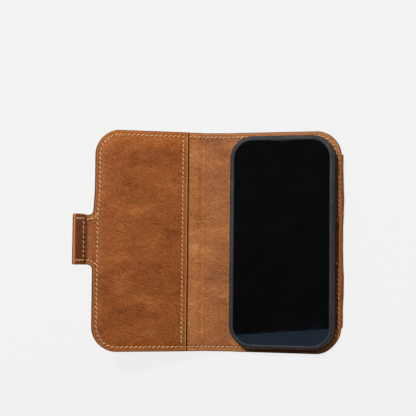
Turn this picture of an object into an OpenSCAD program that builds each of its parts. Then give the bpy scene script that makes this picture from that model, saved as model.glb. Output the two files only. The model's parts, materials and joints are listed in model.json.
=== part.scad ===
// Phone wallet case: a leather folio that holds a phone shell on its back cover
// and a slip pocket on its front cover, closed by a magnetic tab.
// Lengths are millimetres and angles are degrees.
// X runs across the open folio towards the phone's right side.
// Y runs towards the phone's top, and Z towards the viewer.
// The origin lies on the back cover's outer face, under the middle of the shell.

/* [Folio] */
// Height of both covers and of the spine
folio_h = 158; // [154:0.5:166]
// Outer corner radius of both covers
corner_r = 18; // [10:0.5:24]
// Distance between the two fold axes of the spine
spine_w = 18.5; // [16:0.5:22]
// Width of the front cover, from its fold axis to its free edge
front_w = 81.5; // [78:0.5:86]
// Place of the back cover's fold axis, measured from the middle of the shell
back_fold_x = -40; // [-44:0.5:-39]
// Place of the back cover's right edge, measured from the middle of the shell
back_edge_x = 41.2; // [40:0.1:44]
// Thickness of the outer leather
leather_t = 1.2; // [1:0.1:1.6]
// Thickness of the lining leather
lining_t = 0.9; // [0.7:0.1:1.2]
// Thickness of the stiffening board inside each cover
board_t = 0.7; // [0.5:0.1:1]

/* [Resting pose] */
// How far the spine stands up from the back cover
spine_tilt = 10; // [0:1:40]
// How far the front cover stands up from the spine
cover_tilt = 18; // [0:1:40]
// How far the tab curls up from the front cover
tab_curl = 36; // [0:1:60]

/* [Slip pocket] */
// Width of the pocket panel
pocket_w = 68; // [62:0.5:72]
// Thickness of the pocket panel
pocket_t = 1.3; // [1:0.1:1.8]
// Room inside the pocket when it is empty
pocket_gap = 0.5; // [0.3:0.1:1.5]
// Width of the glued and sewn margin round the pocket
pocket_margin = 5; // [4:0.5:8]

/* [Closing tab] */
// Height of the tab, along the cover's edge
tab_h = 35; // [25:1:45]
// Length of the tab's flat root, from the cover's edge to the tab's fold axis
tab_root = 5.5; // [4:0.5:8]
// Length of the tab's flap, from its fold axis to its end
tab_flap_l = 11; // [9:0.5:16]
// Thickness of the flap, with its magnet
tab_flap_t = 2.8; // [2.6:0.1:3.4]
// Radius between the tab and the cover's edge
tab_fillet = 3.5; // [2:0.5:3.5]

/* [Turned edge] */
// How far the turned edge stands out past the back cover's right edge
band_out = 1.6; // [1:0.1:2.4]
// Upper end of the turned edge
band_top = 63; // [50:1:64]
// Lower end of the turned edge
band_bottom = -61; // [-64:1:-50]

/* [Phone] */
// Height of the phone
phone_h = 147.5; // [140:0.5:152]
// Width of the phone
phone_w = 71.5; // [68:0.5:74]
// Thickness of the phone
phone_t = 7.8; // [7:0.1:8.6]
// Corner radius of the phone
phone_r = 14.5; // [9:0.5:15]

/* [Shell] */
// Thickness of the bumper's wall
wall = 1.3; // [1.2:0.05:2.4]
// Gap between the phone and the bumper
fit_gap = 0.3; // [0.2:0.05:0.5]
// Thickness of the shell's hard back plate
plate_t = 1.4; // [1:0.1:2]
// How far the bumper stands above the glass
lip_h = 0.6; // [0.4:0.1:1.2]

/* [Camera window] */
// Width of the camera window
window_w = 25; // [24:0.5:26]
// Height of the camera window
window_h = 43; // [42:0.5:44]
// Place of the window's middle, across the phone
window_x = 20; // [18:0.5:20]
// Place of the window's middle, up the phone
window_y = 48.5; // [40:0.5:49]
// Wall thickness of the ring that guards the camera
guard_wall = 1.3; // [1:0.1:1.6]

/* [Seams] */
// Distance from a seam to the edge that it follows
seam_in = 3.2; // [2.5:0.1:4]
// Width of the thread
thread_w = 0.6; // [0.4:0.1:0.9]
// Height of the thread above the leather
thread_h = 0.3; // [0.2:0.05:0.4]

/* [Buttons] */
// How far a button cover stands out of the bumper
button_out = 0.6; // [0.4:0.1:0.9]
// Height of a button cover, across the bumper's wall
button_h = 3; // [2.4:0.1:3.4]
// Gap round a button cover
button_gap = 0.3; // [0.25:0.05:0.4]
// Length of the side button's cover
side_button_l = 19; // [12:1:22]
// Place of the side button's middle, up the phone
side_button_y = 18; // [5:1:30]
// Length of each volume button's cover
volume_l = 10; // [8:0.5:12]
// Place of the upper volume button's middle
volume_up_y = 28; // [26:1:30]
// Place of the lower volume button's middle
volume_down_y = 14; // [5:1:14]
// Length of the action button's cover
action_l = 6; // [5:0.5:8]
// Place of the action button's middle
action_y = 41; // [40:1:50]

/* [Hidden] */
$fn = 96;
eps = 0.01;
sheet_t = leather_t + lining_t;             // spine and tab root, which have no board
cover_t = leather_t + board_t + lining_t;   // both covers
fold_z = sheet_t / 2;                       // every fold axis runs in the middle of the sheet
fold_gap = fold_z + 0.3;                    // from a fold axis to the nearest panel
thread_gap = fold_gap + 0.9;                // from a fold axis to a cover's nearest thread
sunk_thread_h = thread_h / 2;               // height of thread that is pulled down into the leather
tab_row_in = seam_in - thread_w / 2;        // from the tab's sides to its rows of thread
front_fold_x = back_fold_x - spine_w;
front_edge_x = front_fold_x - front_w;
tab_fold_x = front_edge_x - tab_root;
half_h = folio_h / 2;
board_in = 6;                               // from a cover's edge to its board
pocket_x = front_edge_x + pocket_w;         // the pocket's free edge
pocket_z = cover_t + pocket_gap;
pocket_top = pocket_z + pocket_t;

cavity_w = phone_w + 2 * fit_gap;
cavity_h = phone_h + 2 * fit_gap;
cavity_r = phone_r + fit_gap;
shell_w = cavity_w + 2 * wall;
shell_h = cavity_h + 2 * wall;
shell_r = cavity_r + wall;
adhesive_t = 0.2;
liner_t = 0.4;
plate_z = cover_t + adhesive_t;
liner_z = plate_z + plate_t;
phone_z = liner_z + liner_t + 0.1;
display_t = 0.6;
back_glass_t = 0.5;
shell_top = phone_z + phone_t + lip_h;
button_z = phone_z + phone_t / 2;
button_play = 0.5;                          // from a button cover's inner end to the cavity's wall

island_w = window_w - 4;
island_h = window_h - 4;
island_t = 1.5;
lens_r = 7;
lens_t = 0.8;
lens_step = 18;

port_w = 13;
port_h = 6;
speaker_w = 9;
speaker_h = 2.4;
speaker_x = 17;

magnet_h = 29;                              // both magnets, along the cover's edge
keeper_w = 5;
keeper_t = 1;
tab_magnet_w = 6;
tab_magnet_t = 1;

// ---- outlines ----

// A rectangle with round corners, centred on the origin
module rounded(w, h, r) {
    square([w - 2 * r, h], center = true);
    square([w, h - 2 * r], center = true);
    for (sx = [-1, 1], sy = [-1, 1])
        translate([sx * (w / 2 - r), sy * (h / 2 - r)])
            circle(r);
}

// A panel from x0 to x1 with square corners at x1 and round corners at x0
module round_left(x0, x1, half, r) {
    translate([x0 + r, -half])
        square([x1 - x0 - r, 2 * half]);
    translate([x0, -half + r])
        square([x1 - x0, 2 * (half - r)]);
    for (s = [-1, 1])
        translate([x0 + r, s * (half - r)])
            circle(r);
}

// The same panel with its round corners at x1
module round_right(x0, x1, half, r) {
    mirror([1, 0])
        round_left(-x1, -x0, half, r);
}

module slab(z0, z1) {
    translate([0, 0, z0])
        linear_extrude(z1 - z0)
            children();
}

// The back cover's outline, drawn in from its free edges
module back_outline(inset = 0, fold_in = fold_gap) {
    round_right(back_fold_x + fold_in, back_edge_x - inset, half_h - inset, corner_r - inset);
}

// The front cover's outline, drawn in from its free edges
module front_outline(inset = 0, fold_in = fold_gap) {
    round_left(front_edge_x + inset, front_fold_x - fold_in, half_h - inset, corner_r - inset);
}

// The tab's flat root, with a round fillet on each side of it
module tab_root_outline() {
    root_end = tab_fold_x + fold_gap;
    half = tab_h / 2;
    translate([root_end, -half])
        square([front_edge_x - root_end + corner_r, tab_h]);
    for (m = [0, 1])
        mirror([0, m])
            difference() {
                translate([front_edge_x - tab_fillet, half - 1])
                    square([tab_fillet + 1, tab_fillet + 1]);
                translate([front_edge_x - tab_fillet, half + tab_fillet])
                    circle(tab_fillet);
            }
}

// The hole for the camera, wider by grow all round
module window_outline(grow = 0) {
    translate([window_x, window_y])
        rounded(window_w + 2 * grow, window_h + 2 * grow, window_w / 2 + grow - eps);
}

module shell_outline() {
    rounded(shell_w, shell_h, shell_r);
}

module cavity_outline() {
    rounded(cavity_w, cavity_h, cavity_r);
}

// The line of thread that runs along the edge of an outline drawn in by inset
module front_thread_line() {
    difference() {
        front_outline(seam_in - thread_w / 2, thread_gap);
        front_outline(seam_in + thread_w / 2, fold_gap);
    }
}

module back_thread_line() {
    difference() {
        back_outline(seam_in - thread_w / 2, thread_gap);
        back_outline(seam_in + thread_w / 2, fold_gap);
    }
}

// ---- poses ----

// Turn what is drawn flat about a fold axis at x, towards the viewer on the left side
module fold(x, angle) {
    translate([x, 0, fold_z])
        rotate([0, angle, 0])
            translate([-x, 0, -fold_z])
                children();
}

module on_spine() {
    fold(back_fold_x, spine_tilt)
        children();
}

module on_front() {
    on_spine()
        fold(front_fold_x, cover_tilt)
            children();
}

module on_tab() {
    on_front()
        fold(tab_fold_x, tab_curl)
            children();
}

// The round roll of leather on a fold axis
module fold_roll(x, h) {
    translate([x, h / 2, fold_z])
        rotate([90, 0, 0])
            cylinder(r = fold_z, h = h);
}

// ---- back cover ----

module back_cover_leather() {
    color("#8a4f27")
        slab(0, leather_t)
            difference() {
                back_outline();
                window_outline(guard_wall);
            }
}

module back_cover_board() {
    color("#6f6a60")
        slab(leather_t, leather_t + board_t)
            difference() {
                back_outline(board_in, board_in);
                window_outline(guard_wall);
            }
}

// The keeper magnet's place in the right margin
module keeper_outline() {
    translate([back_edge_x - 1 - keeper_w, -magnet_h / 2])
        square([keeper_w, magnet_h]);
}

module back_cover_lining() {
    color("#a5683b")
        difference() {
            slab(leather_t, cover_t)
                difference() {
                    back_outline();
                    window_outline(guard_wall);
                }
            slab(leather_t - eps, leather_t + board_t)
                back_outline(board_in, board_in);
            slab(leather_t - eps, leather_t + keeper_t)
                keeper_outline();
        }
}

// Leather turned over the straight part of the right edge
module back_turned_edge() {
    r = 1;
    color("#94572c")
        translate([back_edge_x, band_top, 0])
            rotate([90, 0, 0])
                linear_extrude(band_top - band_bottom)
                    intersection() {
                        translate([0, -1])
                            square([band_out + 1, cover_t + 2]);
                        translate([0, cover_t / 2])
                            rounded(2 * band_out, cover_t, r);
                    }
}

// Thread of the back cover: the seam along its edges, which steps out on the turned edge's
// stretch and turns in under the shell round the keeper magnet
module back_cover_stitching() {
    seam_x = back_edge_x - seam_in;
    column_x = seam_x + band_out - 0.2;
    straight = half_h - corner_r;
    slot = magnet_h / 2 + 1;
    color("#c79a68")
        slab(cover_t, cover_t + sunk_thread_h)
            difference() {
                union() {
                    difference() {
                        back_thread_line();
                        translate([seam_x - 2, -straight])
                            square([4, 2 * straight]);
                    }
                    for (m = [0, 1])
                        mirror([0, m]) {
                            translate([seam_x - thread_w / 2, straight - thread_w])
                                square([column_x - seam_x + thread_w, thread_w]);
                            translate([column_x - thread_w / 2, slot])
                                square([thread_w, straight - slot]);
                            translate([column_x - 3, slot])
                                square([3, thread_w]);
                        }
                }
                shell_outline();
            }
}

module keeper_magnet() {
    color("#9a9da0")
        slab(leather_t, leather_t + keeper_t)
            keeper_outline();
}

// ---- shell ----

module shell_adhesive() {
    color("#d9d6cc")
        slab(cover_t, plate_z)
            difference() {
                rounded(shell_w - 8, shell_h - 8, shell_r - 4);
                window_outline(guard_wall);
            }
}

module shell_back_plate() {
    color("#2b2c2e")
        slab(plate_z, liner_z)
            difference() {
                cavity_outline();
                window_outline(guard_wall);
            }
}

module shell_liner() {
    color("#4a4b4e")
        slab(liner_z, liner_z + liner_t)
            difference() {
                cavity_outline();
                window_outline(guard_wall);
            }
}

// A slot through the bumper's side wall for a button cover of length l, with its middle at y
module button_slot(side, l, y) {
    translate([side * (cavity_w + wall) / 2, y, button_z])
        cube([4 * wall, l + 2 * button_gap, button_h + 2 * button_gap], center = true);
}

module shell_bumper() {
    color("#3f4043")
        difference() {
            slab(plate_z, shell_top)
                difference() {
                    shell_outline();
                    cavity_outline();
                }
            button_slot(1, side_button_l, side_button_y);
            button_slot(-1, volume_l, volume_up_y);
            button_slot(-1, volume_l, volume_down_y);
            button_slot(-1, action_l, action_y);
            translate([0, -shell_h / 2, button_z])
                cube([port_w, 4 * wall, port_h], center = true);
            for (s = [-1, 1])
                translate([s * speaker_x, -shell_h / 2, button_z])
                    cube([speaker_w, 4 * wall, speaker_h], center = true);
        }
}

// A soft ring that lines the camera window and stands round the camera
module camera_guard() {
    color("#38393c")
        slab(0.4, liner_z + liner_t)
            difference() {
                window_outline(guard_wall);
                window_outline();
            }
}

// A cover over one of the phone's buttons, from near the phone to button_out past the wall
module button_cover(side, l, y) {
    depth = wall + button_out - button_play;
    outer = shell_w / 2 + button_out;
    color("#333437")
        translate([side * (outer - depth / 2), y, button_z])
            rotate([0, 90, 0])
                linear_extrude(depth, center = true)
                    rounded(button_h, l, button_h / 2 - eps);
}

module side_button_cover() {
    button_cover(1, side_button_l, side_button_y);
}

module volume_up_cover() {
    button_cover(-1, volume_l, volume_up_y);
}

module volume_down_cover() {
    button_cover(-1, volume_l, volume_down_y);
}

module action_button_cover() {
    button_cover(-1, action_l, action_y);
}

// ---- spine ----

// Outer leather of the spine, with the roll of both folds
module spine_leather() {
    color("#8a4f27")
        on_spine()
            union() {
                translate([front_fold_x, -half_h, 0])
                    cube([spine_w, folio_h, leather_t]);
                for (x = [front_fold_x, back_fold_x])
                    fold_roll(x, folio_h);
            }
}

module spine_lining() {
    color("#a5683b")
        on_spine()
            translate([front_fold_x + fold_gap, -half_h, leather_t])
                cube([spine_w - 2 * fold_gap, folio_h, lining_t]);
}

module spine_stitching() {
    color("#c79a68")
        on_spine()
            for (s = [-1, 1])
                translate([front_fold_x + fold_gap, s * (half_h - seam_in) - thread_w / 2, sheet_t])
                    cube([spine_w - 2 * fold_gap, thread_w, sunk_thread_h]);
}

// ---- front cover ----

// Outer leather of the front cover, cut in one piece with the tab's root
module front_cover_leather() {
    color("#8a4f27")
        on_front()
            slab(0, leather_t)
                union() {
                    front_outline();
                    tab_root_outline();
                }
}

module front_cover_board() {
    color("#6f6a60")
        on_front()
            slab(leather_t, leather_t + board_t)
                front_outline(board_in, board_in);
}

module front_cover_lining() {
    color("#a5683b")
        on_front()
            difference() {
                union() {
                    slab(leather_t, cover_t)
                        front_outline();
                    slab(leather_t, sheet_t)
                        tab_root_outline();
                }
                slab(leather_t - eps, leather_t + board_t)
                    front_outline(board_in, board_in);
            }
}

// The pocket panel lies on its sewn margin, which leaves the pocket open to the spine
module pocket_panel() {
    color("#96592e")
        on_front()
            difference() {
                slab(cover_t, pocket_top)
                    intersection() {
                        front_outline();
                        translate([front_edge_x, -half_h])
                            square([pocket_w, folio_h]);
                    }
                slab(cover_t - eps, pocket_z)
                    union() {
                        front_outline(pocket_margin, -eps);
                        translate([front_edge_x + corner_r, -half_h + pocket_margin])
                            square([front_w, folio_h - 2 * pocket_margin]);
                    }
            }
}

// Thread of the pocket's three sewn sides, and the two rows that cross the tab's root
module front_cover_stitching() {
    row_x = tab_fold_x + thread_gap;
    row_y = tab_h / 2 - tab_row_in - thread_w / 2;
    color("#c79a68")
        on_front() {
            slab(pocket_top, pocket_top + thread_h)
                intersection() {
                    front_thread_line();
                    translate([front_edge_x, -half_h])
                        square([pocket_w - seam_in, folio_h]);
                }
            for (s = [-1, 1])
                translate([row_x, s * row_y - thread_w / 2, sheet_t])
                    cube([front_edge_x - row_x, thread_w, sunk_thread_h]);
        }
}

// Thread of the strip of lining between the pocket and the fold
module front_strip_stitching() {
    strip_w = front_fold_x - thread_gap - pocket_x;
    color("#c79a68")
        on_front()
            for (s = [-1, 1])
                translate([pocket_x + 0.3, s * (half_h - seam_in) - thread_w / 2, cover_t])
                    cube([strip_w - 0.3, thread_w, thread_h]);
}

// Thread along the pocket's free edge
module pocket_edge_stitching() {
    edge_in = 3.4;
    color("#c79a68")
        on_front()
            translate([pocket_x - edge_in, seam_in + 2 - half_h, pocket_top])
                cube([thread_w, folio_h - 2 * (seam_in + 2), thread_h]);
}

// ---- closing tab ----

// The flap's outline up to its fold, drawn in at its free end, its fold and its two sides
module tab_outline(end_in = 0, fold_in = 0, side_in = 0) {
    flap_end = tab_fold_x - tab_flap_l;
    translate([flap_end + end_in, side_in - tab_h / 2])
        square([tab_flap_l - fold_gap - end_in - fold_in, tab_h - 2 * side_in]);
}

// Outer leather of the flap, with the roll of its fold
module tab_leather() {
    color("#8a4f27")
        on_tab()
            union() {
                translate([tab_fold_x - tab_flap_l, -tab_h / 2, 0])
                    cube([tab_flap_l, tab_h, leather_t]);
                fold_roll(tab_fold_x, tab_h);
            }
}

module tab_magnet_outline() {
    translate([tab_fold_x - tab_flap_l + 1.5, -magnet_h / 2])
        square([tab_magnet_w, magnet_h]);
}

module tab_lining() {
    color("#7a431f")
        on_tab()
            difference() {
                slab(leather_t, tab_flap_t)
                    tab_outline();
                slab(leather_t - eps, leather_t + tab_magnet_t)
                    tab_magnet_outline();
            }
}

module tab_magnet() {
    color("#9a9da0")
        on_tab()
            slab(leather_t, leather_t + tab_magnet_t)
                tab_magnet_outline();
}

// Thread on three sides of the flap: two rows from its free end, and a column along its fold
module tab_stitching() {
    box_in = 1;
    color("#c79a68")
        on_tab()
            slab(tab_flap_t, tab_flap_t + sunk_thread_h)
                difference() {
                    tab_outline(box_in, box_in, tab_row_in);
                    tab_outline(0, box_in + thread_w, tab_row_in + thread_w);
                }
}

// ---- phone ----

module phone_frame() {
    color("#2a2b2e")
        slab(phone_z + back_glass_t, phone_z + phone_t - display_t)
            rounded(phone_w, phone_h, phone_r);
}

module phone_display() {
    rim = 0.5;
    color("#07080a")
        slab(phone_z + phone_t - display_t, phone_z + phone_t)
            difference() {
                rounded(phone_w - 2 * rim, phone_h - 2 * rim, phone_r - rim);
                earpiece_outline();
            }
}

module earpiece_outline() {
    translate([0, phone_h / 2 - 1.6])
        rounded(16, 0.8, 0.4 - eps);
}

module phone_earpiece() {
    color("#3a4046")
        slab(phone_z + phone_t - display_t, phone_z + phone_t - 0.1)
            earpiece_outline();
}

module phone_back_glass() {
    rim = 0.5;
    color("#1c1d20")
        slab(phone_z, phone_z + back_glass_t)
            rounded(phone_w - 2 * rim, phone_h - 2 * rim, phone_r - rim);
}

module phone_camera_island() {
    color("#1c1d20")
        slab(phone_z - island_t, phone_z)
            translate([window_x, window_y])
                rounded(island_w, island_h, island_w / 2 - eps);
}

module phone_camera_lenses() {
    color("#0c0d10")
        for (s = [-1, 1])
            translate([window_x, window_y + s * lens_step / 2, phone_z - island_t - lens_t])
                cylinder(r = lens_r, h = lens_t);
}

// ---- assembly ----

back_cover_leather();
back_cover_board();
back_cover_lining();
back_turned_edge();
back_cover_stitching();
keeper_magnet();
shell_adhesive();
shell_back_plate();
shell_liner();
shell_bumper();
camera_guard();
side_button_cover();
volume_up_cover();
volume_down_cover();
action_button_cover();
spine_leather();
spine_lining();
spine_stitching();
front_cover_leather();
front_cover_board();
front_cover_lining();
pocket_panel();
front_cover_stitching();
front_strip_stitching();
pocket_edge_stitching();
tab_leather();
tab_lining();
tab_magnet();
tab_stitching();
phone_frame();
phone_display();
phone_back_glass();
phone_camera_island();
phone_camera_lenses();
phone_earpiece();
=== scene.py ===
"""Looks of the phone wallet case: leather, thread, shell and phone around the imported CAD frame.

Shapes are worked out in millimetres. The leather is drawn flat first, with the folio laid open,
and then bent at its folds into the resting pose.
"""

import json
import math

import bmesh
import bpy
import numpy as np
from mathutils import Matrix, Vector, geometry


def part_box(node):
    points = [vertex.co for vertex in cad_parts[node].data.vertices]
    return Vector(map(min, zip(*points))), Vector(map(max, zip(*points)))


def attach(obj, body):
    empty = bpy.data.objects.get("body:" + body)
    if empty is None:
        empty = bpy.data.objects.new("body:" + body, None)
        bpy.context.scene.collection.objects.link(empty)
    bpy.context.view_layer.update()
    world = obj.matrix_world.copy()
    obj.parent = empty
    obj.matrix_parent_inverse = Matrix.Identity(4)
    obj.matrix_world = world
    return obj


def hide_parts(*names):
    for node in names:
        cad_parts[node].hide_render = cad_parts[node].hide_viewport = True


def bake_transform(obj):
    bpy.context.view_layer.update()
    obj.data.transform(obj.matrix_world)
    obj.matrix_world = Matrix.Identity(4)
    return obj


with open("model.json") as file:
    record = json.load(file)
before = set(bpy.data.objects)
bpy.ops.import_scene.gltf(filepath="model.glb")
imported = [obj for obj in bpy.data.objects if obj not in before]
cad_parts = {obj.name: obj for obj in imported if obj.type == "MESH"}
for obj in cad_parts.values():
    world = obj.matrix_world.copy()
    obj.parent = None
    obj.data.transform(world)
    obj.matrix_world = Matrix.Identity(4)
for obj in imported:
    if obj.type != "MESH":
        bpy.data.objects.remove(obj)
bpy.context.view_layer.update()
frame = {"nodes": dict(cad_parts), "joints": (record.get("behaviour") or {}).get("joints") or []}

# ---- sizes, from the frame where it has them ----

MM = 0.001


def low(node):
    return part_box(node)[0] / MM


def high(node):
    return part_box(node)[1] / MM


def joint_place(name):
    joint = next(j for j in frame["joints"] if j["name"] == name)
    return Vector(joint["pos_m"]) / MM


BACK_FOLD = joint_place("spine_fold")
FRONT_FOLD = joint_place("cover_fold")
TAB_FOLD = joint_place("tab_fold")
SPINE_DIR = (FRONT_FOLD - BACK_FOLD).normalized()
FRONT_DIR = (TAB_FOLD - FRONT_FOLD).normalized()
FOLD_Z = BACK_FOLD.z
SPINE_TILT = math.atan2(SPINE_DIR.z, -SPINE_DIR.x)
COVER_TILT = math.atan2(FRONT_DIR.z, -FRONT_DIR.x) - SPINE_TILT
TAB_CURL = math.radians(36)

# Places along the flat folio
TAB_ROOT = 5.5
TAB_FLAP = 11.0
POCKET_W = 68.0
BACK_X = BACK_FOLD.x
FRONT_X = BACK_X - (FRONT_FOLD - BACK_FOLD).length
TAB_X = FRONT_X - (TAB_FOLD - FRONT_FOLD).length
FRONT_EDGE = TAB_X + TAB_ROOT
TAB_END = TAB_X - TAB_FLAP
POCKET_X = FRONT_EDGE + POCKET_W
SPINE_MID = (BACK_X + FRONT_X) / 2
EDGE_X = high("back_cover_leather").x
HALF_H = high("back_cover_leather").y
TAB_HALF = high("tab_leather").y
CORNER_R = 18.0
STRAIGHT_Y = HALF_H - CORNER_R
TAB_FILLET = 3.5
TAB_CUT = FRONT_EDGE - TAB_FILLET
TAB_CORNER_R = 1.2

LEATHER_T = high("back_cover_leather").z
COVER_T = high("back_cover_lining").z
SHEET_T = 2 * FOLD_Z
BOARD_TOP = high("back_cover_board").z
BOARD_IN = 6.0
TAB_T = 2.8
POCKET_GAP = 0.5
POCKET_T = 1.3
SEAM_IN = 3.2
POCKET_SEAM_IN = 3.4

# Half the width of the stretch that bends at a fold
BEND = 2.5
TAB_BEND = 1.5

SHELL_LOW = low("shell_bumper")
SHELL_HIGH = high("shell_bumper")
PHONE_LOW = low("phone_frame")
PHONE_HIGH = high("phone_frame")
PHONE_R = 14.5
FIT_GAP = 0.3
SHELL_R = PHONE_R + SHELL_HIGH.x - PHONE_HIGH.x
WALL = SHELL_HIGH.x - PHONE_HIGH.x - FIT_GAP
GLASS_TOP = high("phone_display").z
WINDOW = (low("camera_guard") + high("camera_guard")) / 2
WINDOW_HALF = (high("camera_guard") - low("camera_guard")) / 2

# The leather isn't quite square: how far a corner moves, and where its move starts and is full
CORNER_LEAN = 1.3
LEAN_X = (FRONT_EDGE + 30, FRONT_EDGE)
LEAN_Y = (10, 40)
CORNER_CUT = 0.8
CUT_X = (25, 37)
CUT_Y = (-62, -74)
TAB_FLARE = 1.0
FLARE_X = (FRONT_EDGE + 3, FRONT_EDGE - 11)
FLARE_REACH = 8


def smooth(t):
    """0 below 0, 1 above 1, and a smooth rise between them."""
    t = np.clip(t, 0.0, 1.0)
    return t * t * (3 - 2 * t)


def rise(value, start, end):
    """A smooth rise from 0 where the value is start to 1 where it is end."""
    return smooth((value - start) / (end - start))


def bent(points):
    """Points of the flat folio, in the resting pose."""
    x, y = points[:, 0], points[:, 1]
    moved = points.astype(float).copy()
    moved[:, 0] += CORNER_LEAN * rise(x, *LEAN_X) * rise(y, *LEAN_Y)
    moved[:, 0] -= CORNER_CUT * rise(x, *CUT_X) * rise(y, *CUT_Y)
    on_tab = rise(x, *FLARE_X) * (np.abs(y) < TAB_HALF + FLARE_REACH)
    moved[:, 1] += TAB_FLARE * on_tab * smooth(y / TAB_HALF)
    for fold_x, angle, half in (
        (TAB_X, TAB_CURL, TAB_BEND),
        (FRONT_X, COVER_TILT, BEND),
        (BACK_X, SPINE_TILT, BEND),
    ):
        turn = angle * rise(x, fold_x + half, fold_x - half)
        dx = moved[:, 0] - fold_x
        dz = moved[:, 2] - FOLD_Z
        moved[:, 0] = fold_x + dx * np.cos(turn) + dz * np.sin(turn)
        moved[:, 2] = FOLD_Z - dx * np.sin(turn) + dz * np.cos(turn)
    return moved


# ---- camera, light and floor ----

CAMERA_AIM = Vector((-0.0555, 0.0244, 0.005))
CAMERA_TURN = (2.831, 15.125, 0.565)
CAMERA_DISTANCE = 0.8
CAMERA_LENS = 95.31


def add_object(name, data):
    made = bpy.data.objects.new(name, data)
    bpy.context.scene.collection.objects.link(made)
    return made


def make_camera():
    data = bpy.data.cameras.new("camera")
    data.lens = CAMERA_LENS
    data.sensor_width = 36.0
    data.clip_start = 0.01
    data.clip_end = 20.0
    camera = add_object("camera", data)
    tip, lean, roll = (math.radians(angle) for angle in CAMERA_TURN)
    turn = Matrix.Rotation(lean, 4, "Y") @ Matrix.Rotation(tip, 4, "X") @ Matrix.Rotation(roll, 4, "Z")
    back_off = Matrix.Translation((0, 0, CAMERA_DISTANCE))
    camera.matrix_world = Matrix.Translation(CAMERA_AIM) @ turn @ back_off
    bpy.context.scene.camera = camera


KEY_FROM = Vector((-0.115, 0.36, 0.925))
KEY_DISTANCE = 0.85
KEY_SIZE = 0.13
KEY_POWER = 5.6
KEY_COLOR = (1.0, 0.985, 0.965)
# Grey of the sky by height, from the horizon up, and its slight blue cast
SKY = ((0.0, 0.60), (0.45, 0.46), (0.75, 0.26), (0.93, 0.045))
SKY_BLUE = 1.02
# The sky's strength rises along this direction
SKY_TOWARDS = (-0.3, 0.95, 0.0)
SKY_SPAN = (-0.3, 1.0)
SKY_LEVELS = (0.04, 2.3)


def make_lights():
    """A small soft box above the upper left, near enough to fade towards the far corner."""
    data = bpy.data.lights.new("key", "AREA")
    data.shape = "DISK"
    data.size = KEY_SIZE
    data.energy = KEY_POWER
    data.color = KEY_COLOR
    key = add_object("key", data)
    key.rotation_mode = "QUATERNION"
    key.rotation_quaternion = KEY_FROM.to_track_quat("Z", "Y")
    key.location = KEY_FROM.normalized() * KEY_DISTANCE + Vector((CAMERA_AIM.x, 0, 0))


def make_sky():
    """A studio that is bright low down, brighter behind the key light, and dark overhead."""
    world = bpy.data.worlds.new("studio")
    bpy.context.scene.world = world
    world.use_nodes = True
    tree = world.node_tree
    background = tree.nodes["Background"]
    direction = tree.nodes.new("ShaderNodeTexCoord").outputs["Generated"]
    split = tree.nodes.new("ShaderNodeSeparateXYZ")
    ramp = tree.nodes.new("ShaderNodeValToRGB")
    towards = tree.nodes.new("ShaderNodeVectorMath")
    towards.operation = "DOT_PRODUCT"
    towards.inputs[1].default_value = SKY_TOWARDS
    share = tree.nodes.new("ShaderNodeMapRange")
    for socket, value in zip(share.inputs[1:5], (*SKY_SPAN, *SKY_LEVELS)):
        socket.default_value = value
    for start, end in (
        (direction, split.inputs[0]),
        (split.outputs["Z"], ramp.inputs[0]),
        (ramp.outputs[0], background.inputs["Color"]),
        (direction, towards.inputs[0]),
        (towards.outputs["Value"], share.inputs[0]),
        (share.outputs[0], background.inputs["Strength"]),
    ):
        tree.links.new(start, end)
    stops = ramp.color_ramp.elements
    while len(stops) < len(SKY):
        stops.new(1.0)
    for stop, (place, level) in zip(stops, SKY):
        stop.position = place
        stop.color = (level, level, level * SKY_BLUE, 1.0)


def link_mesh(name, vertices, faces, material, smooth_angle=50.0):
    """An object from points in millimetres."""
    mesh = bpy.data.meshes.new(name)
    mesh.from_pydata((np.asarray(vertices) * MM).tolist(), [], faces)
    mesh.update()
    mesh.shade_smooth()
    mesh.set_sharp_from_angle(angle=math.radians(smooth_angle))
    mesh.materials.append(material)
    return add_object(name, mesh)


def add_flat_map(made, places):
    """Each corner's place on the flat leather or thread, as the UV map that the materials read."""
    mesh = made.data
    corners = np.zeros(len(mesh.loops), np.int32)
    mesh.loops.foreach_get("vertex_index", corners)
    layer = mesh.uv_layers.new(name="flat")
    layer.data.foreach_set("uv", places[corners].astype(np.float32).ravel())


def add_value(made, name, values):
    layer = made.data.attributes.new(name, "FLOAT", "POINT")
    layer.data.foreach_set("value", values.astype(np.float32))


FLOOR_HALF = 9000.0
FLOOR_Z = -0.05
FLOOR_GLOW = 0.837


def make_floor(material):
    corners = [(x * FLOOR_HALF, y * FLOOR_HALF, FLOOR_Z) for x, y in ((-1, -1), (1, -1), (1, 1), (-1, 1))]
    link_mesh("floor", corners, [(0, 1, 2, 3)], material)


# A dim blue card overhead, which only the gloss sees
CARD_Z = 1500.0
CARD_CORNERS = ((-620.0, -700.0), (-620.0, -187.0), (240.0, -109.0), (240.0, -700.0))


def make_card(material):
    corners = [(x, y, CARD_Z) for x, y in CARD_CORNERS]
    card = link_mesh("card", corners, [(0, 1, 2, 3)], material)
    card.visible_camera = False
    card.visible_diffuse = False
    card.visible_shadow = False


# ---- materials ----


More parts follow.
